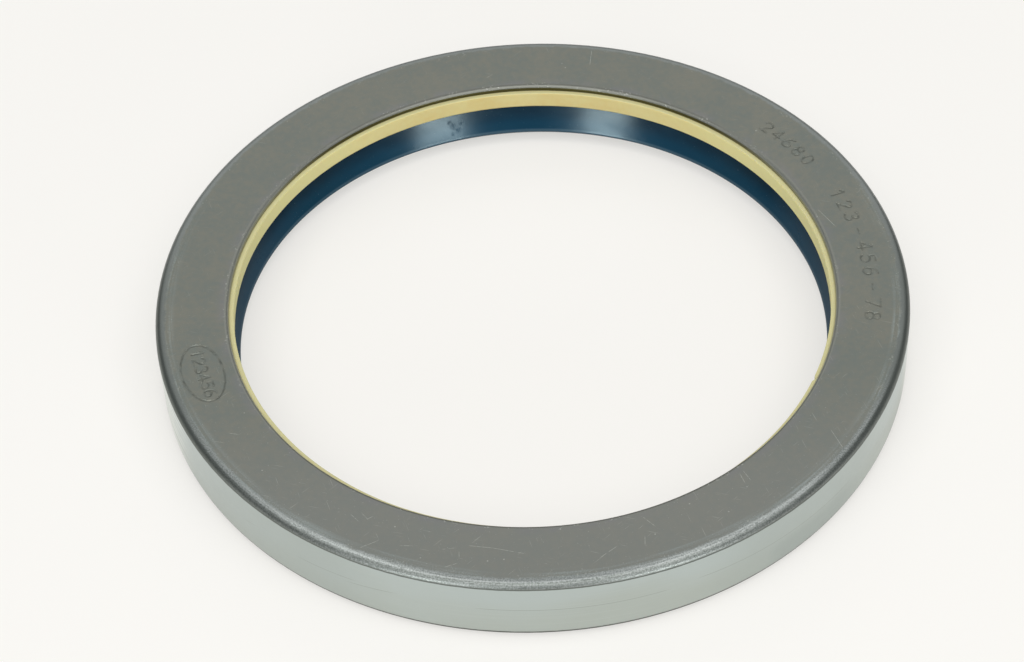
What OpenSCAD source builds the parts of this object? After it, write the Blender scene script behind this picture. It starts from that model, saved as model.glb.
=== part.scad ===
// Shaft seal with a dust scraper, for a 120 mm shaft in a 150 mm housing bore.
// A pressed steel case holds a polyurethane scraper ring and a rubber sealing lip that is bonded
// to its own steel insert. The case's lower edge is turned in over the insert, and a garter
// spring pulls the lip onto the shaft.
// Z is the shaft's axis. The oil side stands on z = 0, and the air side looks up.

/* [Fitting sizes] */
// Diameter of the shaft that the seal runs on
shaft_d = 120; // [80:0.5:150]
// Width of the section, from the shaft to the housing bore that the seal is pressed into
section_t = 15; // [11:0.5:20]
// Width of the seal along the shaft
seal_w = 15; // [14:0.5:20]

/* [Outer case] */
// Thickness of the case's sheet
case_t = 1.2; // [0.8:0.1:1.5]
// Outside radius of the pressed corner on the air side
case_corner_r = 1.5; // [1.2:0.1:2.4]
// Gap between the shaft and the punched edge of the air side
case_gap = 0.45; // [0.3:0.05:1]
// Radius of the punched edge's rolled-over corner
punched_edge_r = 0.8; // [0.3:0.05:0.9]
// Thickness of the edge that is turned in under the insert
crimp_t = 0.8; // [0.5:0.1:1]
// Width of that edge, measured in from the housing bore
crimp_w = 3.8; // [3.4:0.1:4.4]
// Outside radius of the turned-in corner
crimp_corner_r = 2; // [1.7:0.1:2.4]

/* [Scraper ring] */
// Thickness of the washer that is clamped under the case
washer_t = 1.6; // [1.2:0.1:2.4]
// How much smaller than the shaft the scraping edge is, on the radius
scraper_bite = 0.6; // [0.2:0.05:0.8]
// Width of the land on the scraping edge
scraper_land = 0.5; // [0.3:0.05:0.8]
// Depth of the collar's lower end below the air side
collar_depth = 5; // [4.5:0.1:6.5]
// How far the collar's inner face falls back from the edge
collar_relief = 0.15; // [0.05:0.05:0.4]
// Thickness of the collar where it leaves the washer
collar_root_t = 2.95; // [2.4:0.05:3.4]
// Thickness of the collar at its lower end
collar_end_t = 0.85; // [0.6:0.05:1.4]

/* [Insert] */
// Thickness of the insert's sheet
insert_t = 1; // [0.9:0.1:1.4]
// Outside radius of the insert's pressed corner
insert_corner_r = 1.2; // [1:0.1:2]

/* [Sealing lip] */
// How much smaller than the shaft the free lip is, on the radius
lip_bite = 0.9; // [0.5:0.05:1.2]
// Height of the lip's edge above the oil side
lip_z = 3.2; // [2.8:0.1:4]
// Width of the land on the lip's edge
lip_land = 0.35; // [0.2:0.05:0.6]
// Length of the nose below the land
nose_l = 2; // [1.6:0.1:2.2]
// Angle between the nose and the shaft, on the oil side
oil_angle = 45; // [40:1:50]
// Thickness of the flexing membrane
membrane_t = 1.4; // [1:0.1:1.8]
// Rubber between the lip's edge and the spring's groove, on the radius
head_t = 1.6; // [1.3:0.1:2]
// Thickness of the rubber lining inside the insert
lining_t = 1; // [0.6:0.1:1.4]
// Rubber round the punched edge of the insert, on the radius
wrap_t = 1.3; // [0.8:0.1:2]
// Room between the scraper's collar and the rubber
collar_room = 0.85; // [0.5:0.05:1.5]

/* [Garter spring] */
// Outside diameter of the spring's coil
coil_d = 2.2; // [1.8:0.1:2.6]
// Pitch of the coil's turns, drawn coarser than the real wire
turn_pitch = 1.6; // [1.4:0.1:3]
// Distance of the spring's plane from the lip's edge, towards the air side
spring_shift = 0.4; // [0.2:0.1:0.7]

/* [Hidden] */
$fn = 180;

// Steps in each rounded corner of a profile
arc_steps = 6;
// Corners round the coil of the spring
coil_sides = 8;
// Clearance between the case and what is pushed into it
fit_gap = 0.1;
// Clearance round the spring in its groove
groove_gap = 0.05;
// Small radii: a cut edge, a moulded edge, a moulded root
cut_r = 0.15;
moulded_r = 0.3;
root_r = 0.6;
// Fillet between the membrane, the lining and the insert
lining_fillet_r = 1.2;
// Rubber above the groove, and how much higher the shoulder meets the membrane
shoulder_t = 0.3;
shoulder_rise = 0.5;
// The insert's bare end below its lining
bare_end = 1.2;
// Inside radius of the case's turned-in corner. The insert's foot is rounded to clear it
crimp_inside_r = 0.8;
// Ends of the groove's mouth above and below the spring's plane, seen from the groove's centre
mouth_top_angle = 50;
mouth_low_angle = 80;
// Depth of the valleys between the spring's turns
valley_depth = 0.25;

shaft_r = shaft_d / 2;
housing_r = shaft_r + section_t;

// Outer case, and the heights of what is stacked in it
case_in_r = housing_r - case_t;
case_under_z = seal_w - case_t;
case_inner_corner_r = max(case_corner_r - case_t, cut_r);
rim_r = shaft_r + case_gap;
crimp_in_r = housing_r - crimp_w;
insert_top_z = case_under_z - washer_t;
insert_under_z = insert_top_z - insert_t;
lining_under_z = insert_under_z - lining_t;

// Scraper ring
washer_out_r = case_in_r - fit_gap;
scraper_edge_r = shaft_r - scraper_bite;
land_end_z = case_under_z - cut_r - scraper_land;
collar_end_z = seal_w - collar_depth;
collar_end_r = scraper_edge_r + collar_relief;
collar_root_r = scraper_edge_r + collar_root_t;

// Insert and the rubber bonded to it
insert_out_r = case_in_r - fit_gap;
leg_in_r = insert_out_r - insert_t;
wrap_in_r = collar_root_r + collar_room;
insert_in_r = wrap_in_r + wrap_t;
insert_inner_corner_r = max(insert_corner_r - insert_t, cut_r);
insert_foot_r = crimp_inside_r - fit_gap;
lining_in_r = leg_in_r - lining_t;
lining_end_z = crimp_t + bare_end;

// Sealing lip
lip_r = shaft_r - lip_bite;
land_top_z = lip_z + lip_land / 2;
land_low_z = lip_z - lip_land / 2;
nose_z = land_low_z - nose_l;
nose_r = lip_r + nose_l * tan(oil_angle);
air_angle = atan((wrap_in_r - lip_r) / (insert_under_z - land_top_z));

// Garter spring and its groove
groove_r = coil_d / 2 + groove_gap;
spring_r = lip_r + head_t + groove_r;
spring_z = lip_z + spring_shift;
shoulder_r = spring_r + groove_r * cos(mouth_top_angle);
shoulder_z = spring_z + groove_r + shoulder_t;
shoulder_top_z = shoulder_z + shoulder_rise;
nose_out_r = spring_r + groove_r * cos(mouth_low_angle);
turns = round(2 * PI * spring_r / turn_pitch);

function unit(v) = v / norm(v);

// The arc of radius r that rounds the corner b between the points a and c
function rounded(a, b, c, r) =
    r == 0 ? [b] :
    let (
        to_a = unit(a - b),
        to_c = unit(c - b),
        half = acos(to_a * to_c) / 2,
        centre = b + unit(to_a + to_c) * r / sin(half),
        start = b + to_a * r / tan(half) - centre,
        end = b + to_c * r / tan(half) - centre,
        sweep = atan2(start.x * end.y - start.y * end.x, start * end)
    )
    [for (i = [0 : arc_steps])
        let (turn = sweep * i / arc_steps)
        centre + [start.x * cos(turn) - start.y * sin(turn), start.x * sin(turn) + start.y * cos(turn)]];

// A closed outline from corners of the form [radius from the axis, height, rounding]
function outline(corners) =
    let (n = len(corners), at = [for (p = corners) [p[0], p[1]]])
    [for (i = [0 : n - 1]) each rounded(at[(i + n - 1) % n], at[i], at[(i + 1) % n], corners[i][2])];

// Radius of the membrane's outer face at a height
function membrane_out_r(z) = lip_r + (z - land_top_z) * tan(air_angle) + membrane_t / cos(air_angle);

module ring(corners) {
    rotate_extrude() polygon(outline(corners));
}

// Pressed cup with a flat air side, a straight wall and its lower edge turned in
module outer_case() {
    color([0.46, 0.48, 0.45]) ring([
        [rim_r, case_under_z, cut_r],
        [rim_r, seal_w, punched_edge_r],
        [housing_r, seal_w, case_corner_r],
        [housing_r, 0, crimp_corner_r],
        [crimp_in_r, 0, moulded_r],
        [crimp_in_r, crimp_t, cut_r],
        [case_in_r, crimp_t, crimp_inside_r],
        [case_in_r, case_under_z, case_inner_corner_r],
    ]);
}

// Washer with the scraping edge under the case's face, and a collar that tapers down from it
module scraper_ring() {
    color([0.83, 0.78, 0.55]) ring([
        [scraper_edge_r, case_under_z, cut_r],
        [washer_out_r, case_under_z, case_inner_corner_r + cut_r],
        [washer_out_r, insert_top_z, moulded_r],
        [collar_root_r, insert_top_z, root_r],
        [collar_end_r + collar_end_t, collar_end_z, cut_r],
        [collar_end_r, collar_end_z, cut_r],
        [scraper_edge_r, land_end_z, 0],
    ]);
}

// Pressed angle ring that clamps the scraper's washer and carries the rubber
module insert() {
    color([0.55, 0.56, 0.55]) ring([
        [insert_in_r, insert_under_z, 0],
        [insert_in_r, insert_top_z, 0],
        [insert_out_r, insert_top_z, insert_corner_r],
        [insert_out_r, crimp_t, insert_foot_r],
        [leg_in_r, crimp_t, cut_r],
        [leg_in_r, insert_under_z, insert_inner_corner_r],
    ]);
}

// Lining, membrane and lip, moulded as one piece, with a round groove for the spring
module sealing_lip() {
    color([0.07, 0.19, 0.28]) rotate_extrude() difference() {
        polygon(outline([
            [lip_r, land_low_z, 0],
            [lip_r, land_top_z, 0],
            [wrap_in_r, insert_under_z, root_r],
            [wrap_in_r, insert_top_z, cut_r],
            [insert_in_r, insert_top_z, 0],
            [insert_in_r, insert_under_z, 0],
            [leg_in_r, insert_under_z, insert_inner_corner_r],
            [leg_in_r, lining_end_z, 0],
            [lining_in_r, lining_end_z, moulded_r],
            [lining_in_r, lining_under_z, lining_fillet_r],
            [membrane_out_r(lining_under_z), lining_under_z, lining_fillet_r],
            [membrane_out_r(shoulder_top_z), shoulder_top_z, moulded_r],
            [shoulder_r, shoulder_z, cut_r],
            [shoulder_r, spring_z, 0],
            [nose_out_r, spring_z, 0],
            [nose_out_r, nose_z, moulded_r],
            [nose_r, nose_z, moulded_r],
        ]));
        translate([spring_r, spring_z]) circle(groove_r);
    }
}

// A corner of the spring: turn k, side j round the coil, on a crest (0) or in a valley (1)
function coil_point(k, j, valley) =
    let (
        along = 360 * (k + j / coil_sides + valley / 2) / turns,
        round_coil = 360 * j / coil_sides,
        r = coil_d / 2 - valley * valley_depth,
        out = spring_r + r * cos(round_coil)
    )
    [out * cos(along), out * sin(along), spring_z + r * sin(round_coil)];

// Its number in the list of corners. Side coil_sides of a turn is side 0 of the next
function coil_index(k, j, valley) =
    let (turn = k + floor(j / coil_sides))
    ((turn % turns) * coil_sides + j % coil_sides) * 2 + valley;

// Close-wound coil joined end to end, as one ring whose crests follow the wire's helix
module garter_spring() {
    color([0.72, 0.72, 0.7]) polyhedron(
        points = [for (k = [0 : turns - 1], j = [0 : coil_sides - 1], v = [0, 1]) coil_point(k, j, v)],
        faces = [for (k = [0 : turns - 1], j = [0 : coil_sides - 1], v = [0, 1])
            [coil_index(k, j, v), coil_index(k, j + 1, v),
             coil_index(k + v, j + 1, 1 - v), coil_index(k + v, j, 1 - v)]]
    );
}

outer_case();
scraper_ring();
insert();
sealing_lip();
garter_spring();
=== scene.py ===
# %% [markdown]
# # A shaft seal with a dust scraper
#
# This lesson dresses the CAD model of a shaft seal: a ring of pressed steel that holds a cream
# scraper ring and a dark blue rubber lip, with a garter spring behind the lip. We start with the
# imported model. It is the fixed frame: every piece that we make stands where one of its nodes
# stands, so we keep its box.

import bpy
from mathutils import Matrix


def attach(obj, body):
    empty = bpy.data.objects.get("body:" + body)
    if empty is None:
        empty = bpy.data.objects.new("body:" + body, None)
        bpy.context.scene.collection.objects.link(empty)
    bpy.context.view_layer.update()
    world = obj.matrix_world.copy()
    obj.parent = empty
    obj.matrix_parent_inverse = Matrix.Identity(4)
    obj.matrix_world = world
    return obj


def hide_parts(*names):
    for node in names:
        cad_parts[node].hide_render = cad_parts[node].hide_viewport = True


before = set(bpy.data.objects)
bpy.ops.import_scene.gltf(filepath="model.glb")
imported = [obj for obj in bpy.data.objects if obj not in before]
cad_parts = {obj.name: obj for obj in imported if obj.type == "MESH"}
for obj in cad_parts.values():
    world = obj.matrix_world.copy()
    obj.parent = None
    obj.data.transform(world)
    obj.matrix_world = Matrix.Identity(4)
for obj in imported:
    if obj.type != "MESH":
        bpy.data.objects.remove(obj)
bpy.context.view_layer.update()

# %% [markdown]
# Lengths are easier to read in millimetres, so all shapes are worked out in millimetres and are
# turned to metres when they are put into a mesh. The sizes come from the CAD nodes: for a ring,
# the radii and the heights of its vertices say where it begins and ends.

# %% Sizes of the rings
import math

import bpy
import numpy as np
from mathutils import Matrix

MM = 0.001


def ring_size(node):
    """Inner radius, outer radius, lowest and highest point of a CAD ring round the Z axis, in mm."""
    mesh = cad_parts[node].data
    corners = np.empty(len(mesh.vertices) * 3, np.float32)
    mesh.vertices.foreach_get("co", corners)
    corners = corners.reshape(-1, 3) / MM
    radius = np.hypot(corners[:, 0], corners[:, 1])
    size = radius.min(), radius.max(), corners[:, 2].min(), corners[:, 2].max()
    return [round(float(value), 3) for value in size]


sizes = {node: ring_size(node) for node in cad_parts}
for node, size in sizes.items():
    print(node, "radii %.2f to %.2f, heights %.2f to %.2f mm" % tuple(size))

# %% [markdown]
# The camera comes early, because all that follows is judged through it. A long lens 0.6 m away
# looks down at 47 degrees. The camera is also rolled a little, as a hand-held one often is, so its
# place is given by three directions: to its right, up, and ahead. Blender's camera looks along its
# own -Z, so the third column of its matrix is the direction behind it. The Standard view shows a
# light value as the plain screen colour that it stands for, so colours can be judged by number.

# %% Camera
CAMERA_AT = (-0.00013, -0.409735, 0.438312)
CAMERA_RIGHT = (0.99899, -0.02753, -0.03539)
CAMERA_UP = (0.04431, 0.72738, 0.6848)
CAMERA_AHEAD = (-0.00689, 0.68568, -0.72787)
LENS_MM = 104.04
SENSOR_MM = 36.0
NEAREST_SEEN = 0.01

lens = bpy.data.cameras.new("camera")
lens.lens = LENS_MM
lens.sensor_width = SENSOR_MM
lens.clip_start = NEAREST_SEEN
camera = bpy.data.objects.new("camera", lens)
columns = CAMERA_RIGHT, CAMERA_UP, [-value for value in CAMERA_AHEAD], CAMERA_AT
camera.matrix_world = Matrix([[column[row] for column in columns] for row in range(3)]).to_4x4()
scene = bpy.context.scene
scene.collection.objects.link(camera)
scene.camera = camera
scene.view_settings.view_transform = "Standard"
print("camera at", CAMERA_AT, "with a lens of", LENS_MM, "mm")

# %% [markdown]
# Shader maths is easier to read as sums than as a drawing of nodes. `Finish` is a material under
# construction. Its one method `node` adds any node: its type, its settings, which are set first,
# and then the values or links of its sockets. `Wire` wraps the socket that comes out, and its
# operators add Math nodes, so `1 - mask * 2` can be written down as it stands. Most wires are
# masks: 1 where something is, 0 elsewhere, and soft at the edge. `a | b` is the larger of two.

# %% A material as sums
class Wire:
    """A socket that gives a number at each point of the surface, to be used in sums."""

    def __init__(self, finish, socket):
        self.finish = finish
        self.socket = socket

    def maths(self, operation, *values):
        return self.finish.node("ShaderNodeMath", {"operation": operation}, dict(enumerate(values)))

    def __add__(self, other):
        return self.maths("ADD", self, other)

    def __sub__(self, other):
        return self.maths("SUBTRACT", self, other)

    def __rsub__(self, other):
        return self.maths("SUBTRACT", other, self)

    def __mul__(self, other):
        return self.maths("MULTIPLY", self, other)

    def __truediv__(self, other):
        return self.maths("DIVIDE", self, other)

    def __pow__(self, power):
        return self.maths("POWER", self, power)

    def __abs__(self):
        return self.maths("ABSOLUTE", self)

    def __or__(self, other):
        return self.maths("MAXIMUM", self, other)

    __radd__ = __add__
    __rmul__ = __mul__

    def between(self, start, end):
        """0 at start, 1 at end and beyond, with a soft S between them. Start may be above end."""
        settings = {"interpolation_type": "SMOOTHSTEP"}
        values = {"Value": self, "From Min": start, "From Max": end}
        return self.finish.node("ShaderNodeMapRange", settings, values)

    def above(self, edge, soft):
        """1 above an edge, 0 below it, and a soft S that reaches this far to both sides of it."""
        return self.between(edge - soft, edge + soft)

    def below(self, edge, soft):
        """1 below an edge, 0 above it, and a soft S that reaches this far to both sides of it."""
        return self.between(edge + soft, edge - soft)


class Finish:
    """A procedural material, with Object coordinates in mm as its starting point."""

    def __init__(self, name, constants):
        self.material = bpy.data.materials.new(name)
        self.material.use_nodes = True
        self.tree = self.material.node_tree
        self.shader = self.tree.nodes["Principled BSDF"]
        for socket, value in constants.items():
            self.shader.inputs[socket].default_value = value
        place = self.node("ShaderNodeTexCoord", {}, {}, "Object")
        self.at = self.stretched(place, (1 / MM, 1 / MM, 1 / MM))
        axes = [self.node("ShaderNodeSeparateXYZ", {}, {0: self.at}, axis) for axis in "XYZ"]
        self.x, self.y, self.z = axes
        self.radius = (self.x * self.x + self.y * self.y) ** 0.5

    def node(self, kind, settings, values, output=0):
        """Adds a node and gives one of its outputs."""
        node = self.tree.nodes.new(kind)
        for name, value in settings.items():
            setattr(node, name, value)
        for name, value in values.items():
            if isinstance(value, Wire):
                self.tree.links.new(value.socket, node.inputs[name])
            else:
                node.inputs[name].default_value = value
        return Wire(self, node.outputs[output])

    def stretched(self, vector, factors):
        """A vector with each part multiplied by its own factor."""
        return self.node("ShaderNodeVectorMath", {"operation": "MULTIPLY"}, {0: vector, 1: factors})

    def noise(self, size, detail=2.0, stretch=(1, 1, 1), at=None):
        """Soft random values about 0.5 in lumps of a size in mm. A stretch below 1 draws them out.
        They belong to the surface's own points, or to another vector that is given as at."""
        vector = self.stretched(at or self.at, stretch)
        return self.node("ShaderNodeTexNoise", {}, {"Vector": vector, "Scale": 1 / size, "Detail": detail})

    def sideways(self):
        """0 on the near and on the far side of the ring, 1 at its left and right ends."""
        return abs(self.x) / self.radius

    def mixed(self, share, first, second):
        """From the first colour at share 0 to the second at share 1."""
        settings = {"data_type": "RGBA"}
        return self.node("ShaderNodeMix", settings, {0: share, 6: first, 7: second}, 2)

    def feed(self, socket, wire):
        """Joins a wire to one of the shader's own sockets."""
        self.tree.links.new(wire.socket, self.shader.inputs[socket])

    def bump(self, height, depth):
        """Lets a height from 0 to 1 tilt the surface as if it were depth mm deep."""
        self.feed("Normal", self.node("ShaderNodeBump", {}, {"Height": height, "Distance": depth * MM}))


def any_of(masks):
    """1 where any of several masks is: the largest of them at each point."""
    masks = list(masks)
    together = masks[0]
    for mask in masks[1:]:
        together = together | mask
    return together


def tone(red, green, blue):
    """A screen colour, 0 to 255, as the light values that a shader needs."""
    screen = np.array([red, green, blue]) / 255
    light = np.where(screen <= 0.04045, screen / 12.92, ((screen + 0.055) / 1.055) ** 2.4)
    return (*light.tolist(), 1.0)


print("a mid grey of 128 is a light value of %.3f" % tone(128, 128, 128)[0])

# %% [markdown]
# The floor is one pale sheet, wide enough to fill every view. A product picture's ground is nearly
# white, yet more light would wash out the seal. So the sheet glows a little, but only for rays
# that come from the camera or from a mirror image in the metal. All other rays see plain paper,
# and it still takes the seal's soft shadow. Inside the ring the mirror images glow less, because
# there the sheet lies in the ring's shade. A trace of unevenness keeps it from looking drawn.

# %% Floor
FLOOR_HALF = 6.0
PAPER = tone(160, 158, 155)
PAPER_WARM = tone(162, 160, 156)
GLOW = (0.576, 0.568, 0.55, 1.0)
DARK = (0.0, 0.0, 0.0, 1.0)
PAPER_LUMPS = 60.0
SHADED_GLOW = 0.3
SHADED_TO_R = 58.0
OPEN_FROM_R = 66.0

paper = Finish("pale_paper", {"Roughness": 0.9, "Specular IOR Level": 0.1, "Emission Strength": 1.0})
paper.feed("Base Color", paper.mixed(paper.noise(PAPER_LUMPS), PAPER, PAPER_WARM))
from_camera = paper.node("ShaderNodeLightPath", {}, {}, "Is Camera Ray")
from_mirror = paper.node("ShaderNodeLightPath", {}, {}, "Is Glossy Ray")
open_floor = SHADED_GLOW + paper.radius.between(SHADED_TO_R, OPEN_FROM_R) * (1 - SHADED_GLOW)
paper.feed("Emission Color", paper.mixed(from_camera + from_mirror * open_floor, DARK, GLOW))

floor_mesh = bpy.data.meshes.new("floor")
floor_corners = np.array([[-1, -1, 0], [1, -1, 0], [1, 1, 0], [-1, 1, 0]]) * FLOOR_HALF
floor_mesh.from_pydata(floor_corners.tolist(), [], [(0, 1, 2, 3)])
floor_mesh.materials.append(paper.material)
floor = bpy.data.objects.new("floor", floor_mesh)
scene.collection.objects.link(floor)
print("floor", 2 * FLOOR_HALF, "m wide")

# %% [markdown]
# Bare metal shows what stands round it, so the studio is built for its mirror images. The world is
# a dim room. A wide soft lamp hangs over the front half: the flat face mirrors the dim back of the
# room and looks mid grey, while the rounded corner on the near side turns to the lamp and lights
# up, and the steel's colour adds painted light there. At the left and right that corner mirrors the
# dim horizon, so it gets its dark band, which the steel's colour deepens with painted shade. A paler
# lamp behind gives the face its level. Two bright lamps stand low in front: the rubber cone on
# the far side leans so that it mirrors just those two places, and they make its two highlights.

# %% World and lamps
ROOM = 0.3
COOL_WHITE = (0.95, 0.99, 1.0)
OVER_FRONT = {"bearing": -90, "height": 66, "distance": 1.5, "width": 2.4, "tall": 1.9, "brightness": 1.7}
BEHIND = {"bearing": 90, "height": 42, "distance": 1.5, "width": 2.2, "tall": 0.9, "brightness": 0.7}
LOW = {"height": 9.5, "distance": 0.9, "width": 0.24, "tall": 0.15, "brightness": 13}
LOW_BEARINGS = {"low_left": -118, "low_right": -61}

world = bpy.data.worlds.new("studio")
world.use_nodes = True
scene.world = world
room = world.node_tree.nodes["Background"]
room.inputs["Color"].default_value = (*COOL_WHITE, 1.0)
room.inputs["Strength"].default_value = ROOM


def soft_lamp(name, bearing, height, distance, width, tall, brightness):
    """A flat lamp that looks at the seal, its bearing and height in degrees as seen from there.
    Its power is pi times its area times its brightness, where a white world has brightness 1."""
    lamp = bpy.data.lights.new(name, "AREA")
    lamp.shape = "RECTANGLE"
    lamp.size = width
    lamp.size_y = tall
    lamp.energy = math.pi * width * tall * brightness
    post = bpy.data.objects.new(name, lamp)
    turn = math.radians(bearing)
    rise = math.radians(height)
    post.rotation_euler = (math.pi / 2 - rise, 0, turn + math.pi / 2)
    out = math.cos(rise) * math.cos(turn), math.cos(rise) * math.sin(turn), math.sin(rise)
    post.location = [distance * value for value in out]
    scene.collection.objects.link(post)
    return post


soft_lamp("over_front", **OVER_FRONT)
soft_lamp("behind", **BEHIND)
for name, bearing in LOW_BEARINGS.items():
    soft_lamp(name, bearing, **LOW).data.color = COOL_WHITE

# %% [markdown]
# Every ring of the seal is a closed outline carried once round the Z axis. An outline is a list of
# corners: radius, height, rounding, and how far apart its points may lie on the straight run to
# the next corner. A real pressed or moulded edge is never sharp, so each corner becomes an arc.
# Each run also gets a point close to both of its ends. These keep the smooth shading of the arcs
# from leaking into the flat faces. A wider arc gets more steps, by the root of its radius.

# %% Outlines with rounded corners
ARC_STEPS = 9.6
FEWEST_STEPS = 3
SUPPORT = 0.12


def rounded(before, corner, after, radius, steps):
    """The arc of a radius that touches both edges of a corner. Its centre lies on the bisector, at
    the radius over the sine of half the angle, and it runs between the two touching points."""
    if radius == 0:
        return corner[None]
    back = (before - corner) / np.linalg.norm(before - corner)
    on = (after - corner) / np.linalg.norm(after - corner)
    half = math.acos(back @ on) / 2
    centre = corner + (back + on) / np.linalg.norm(back + on) * radius / math.sin(half)
    start = corner + back * radius / math.tan(half) - centre
    end = corner + on * radius / math.tan(half) - centre
    sweep = math.atan2(start[0] * end[1] - start[1] * end[0], start @ end)
    turn = np.linspace(0, sweep, steps + 1)
    across = np.array([-start[1], start[0]])
    return centre + np.cos(turn)[:, None] * start + np.sin(turn)[:, None] * across


def run(start, end, spacing):
    """Points on the straight way between two arcs: one near each end, and even ones between."""
    length = np.linalg.norm(end - start)
    if length < 4 * SUPPORT:
        return np.empty((0, 2))
    count = max(2, math.ceil(length / spacing))
    share = np.linspace(SUPPORT, length - SUPPORT, count) / length
    return start + share[:, None] * (end - start)


def outline(corners):
    """A closed outline, clockwise with the radius to the right and the height upwards."""
    at = np.array([corner[:2] for corner in corners], float)
    arcs = []
    for i, (_, _, radius, _) in enumerate(corners):
        steps = max(FEWEST_STEPS, round(ARC_STEPS * radius ** 0.5))
        arcs.append(rounded(at[i - 1], at[i], at[(i + 1) % len(at)], radius, steps))
    points = []
    for i, arc in enumerate(arcs):
        points += [arc, run(arc[-1], arcs[(i + 1) % len(arcs)][0], corners[i][3])]
    return np.concatenate(points)


# %% [markdown]
# A grid of points becomes a mesh with one rule: point (i, j) makes a four-sided face with its
# neighbours i + 1 and j + 1, counted round the end so that the skin closes on itself both ways.
# Numpy works out all the faces at once. The volume inside the skin is a good test: it is positive
# only if the faces point outwards, and it should be near the CAD solid's.

# %% From a grid to a piece
def quads_of(rows, columns):
    """Corner numbers of all the faces of a grid that is closed both ways."""
    i, j = np.meshgrid(np.arange(rows), np.arange(columns), indexing="ij")
    next_i, next_j = (i + 1) % rows, (j + 1) % columns
    corners = [i * columns + j, next_i * columns + j, next_i * columns + next_j, i * columns + next_j]
    return np.stack(corners, -1).reshape(-1, 4)


def volume_inside(points, quads):
    """A sixth of the sum of a . (b x c) over the triangles of the skin."""
    a, b, c, d = (points[quads[:, k]] for k in range(4))
    return (np.einsum("ij,ij", a, np.cross(b, c)) + np.einsum("ij,ij", a, np.cross(c, d))) / 6


def piece(node, grid, finish):
    """Makes a closed grid of points in mm into the piece that stands for a CAD node."""
    points = grid.reshape(-1, 3)
    quads = quads_of(*grid.shape[:2])
    mesh = bpy.data.meshes.new(node + "_skin")
    mesh.vertices.add(len(points))
    mesh.vertices.foreach_set("co", (points * MM).astype(np.float32).ravel())
    mesh.loops.add(quads.size)
    mesh.loops.foreach_set("vertex_index", quads.astype(np.int32).ravel())
    mesh.polygons.add(len(quads))
    mesh.polygons.foreach_set("loop_start", np.arange(0, quads.size, 4, dtype=np.int32))
    mesh.update(calc_edges=True)
    mesh.validate()
    mesh.shade_smooth()
    mesh.materials.append(finish.material)
    item = bpy.data.objects.new(node + "_skin", mesh)
    scene.collection.objects.link(item)
    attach(item, "root")
    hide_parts(node)
    print(item.name, 2 * len(quads), "triangles,", round(volume_inside(points, quads)), "mm3")


def revolved(profile, angles):
    """An outline carried round the axis: radius times cosine, radius times sine, height."""
    radius, height = profile[:, :1], profile[:, 1:]
    x = radius * np.cos(angles)
    y = radius * np.sin(angles)
    return np.stack([x, y, np.broadcast_to(height, x.shape)], -1)


def all_round(count):
    """Evenly spaced angles for a full turn."""
    return np.arange(count) * (2 * np.pi / count)


# %% [markdown]
# ## The pressed case
#
# The case is drawn from one sheet, so its outline is a thin hook: the flat air side with a
# rolled-over punched edge, the pressed corner, the ground wall, and the edge that is turned in
# under the stack. The hole of this one came out a few hundredths tighter than the drawing has it.
# The air side gets closely spaced points where numbers are stamped into it.

# %% Outline of the case
rim_r, case_r, floor_z, face_z = sizes["outer_case"]
SHEET = 1.2
CRIMP = 0.8
CRIMP_WIDTH = 3.8
PRESS_CORNER = 1.5
TURN_IN = 2.0
ROLL_OVER = 0.8
SHEARED_EDGE = 0.15
BENT_EDGE = 0.3
HOLE_TIGHTER = 0.03
SEEN_STEP = 1.0
WALL_STEP = 1.5
HIDDEN_STEP = 3.0
MARKS_STEP = 0.14
MARKS_FROM_R = 62.9
MARKS_TO_R = 71.8
hole_r = rim_r - HOLE_TIGHTER
under_face_z = face_z - SHEET
wall_in_r = case_r - SHEET
crimp_r = case_r - CRIMP_WIDTH

case_outline = outline([
    (hole_r, under_face_z, SHEARED_EDGE, SEEN_STEP),
    (hole_r, face_z, ROLL_OVER, SEEN_STEP),
    (MARKS_FROM_R, face_z, 0, MARKS_STEP),
    (MARKS_TO_R, face_z, 0, SEEN_STEP),
    (case_r, face_z, PRESS_CORNER, WALL_STEP),
    (case_r, floor_z, TURN_IN, WALL_STEP),
    (crimp_r, floor_z, BENT_EDGE, SEEN_STEP),
    (crimp_r, CRIMP, SHEARED_EDGE, SEEN_STEP),
    (wall_in_r, CRIMP, TURN_IN - SHEET, HIDDEN_STEP),
    (wall_in_r, under_face_z, BENT_EDGE, HIDDEN_STEP),
])
print("case outline:", len(case_outline), "points")

# %% [markdown]
# Stamped numbers are pressed by hard steel punches with a plain single-stroke letterform, so each
# number is a few strokes: straight runs and pieces of an ellipse, in a box 0.6 wide and 1 high.

# %% Strokes of the punches
BOW_POINTS = 25
SIGN_MIDDLE = (0.3, 0.5)


def bow(x, y, across, up, start, end):
    """Part of an ellipse about (x, y): x + across cos a, y + up sin a, with a in degrees."""
    a = np.radians(np.linspace(start, end, BOW_POINTS))
    return np.stack([x + across * np.cos(a), y + up * np.sin(a)], -1)


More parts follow.
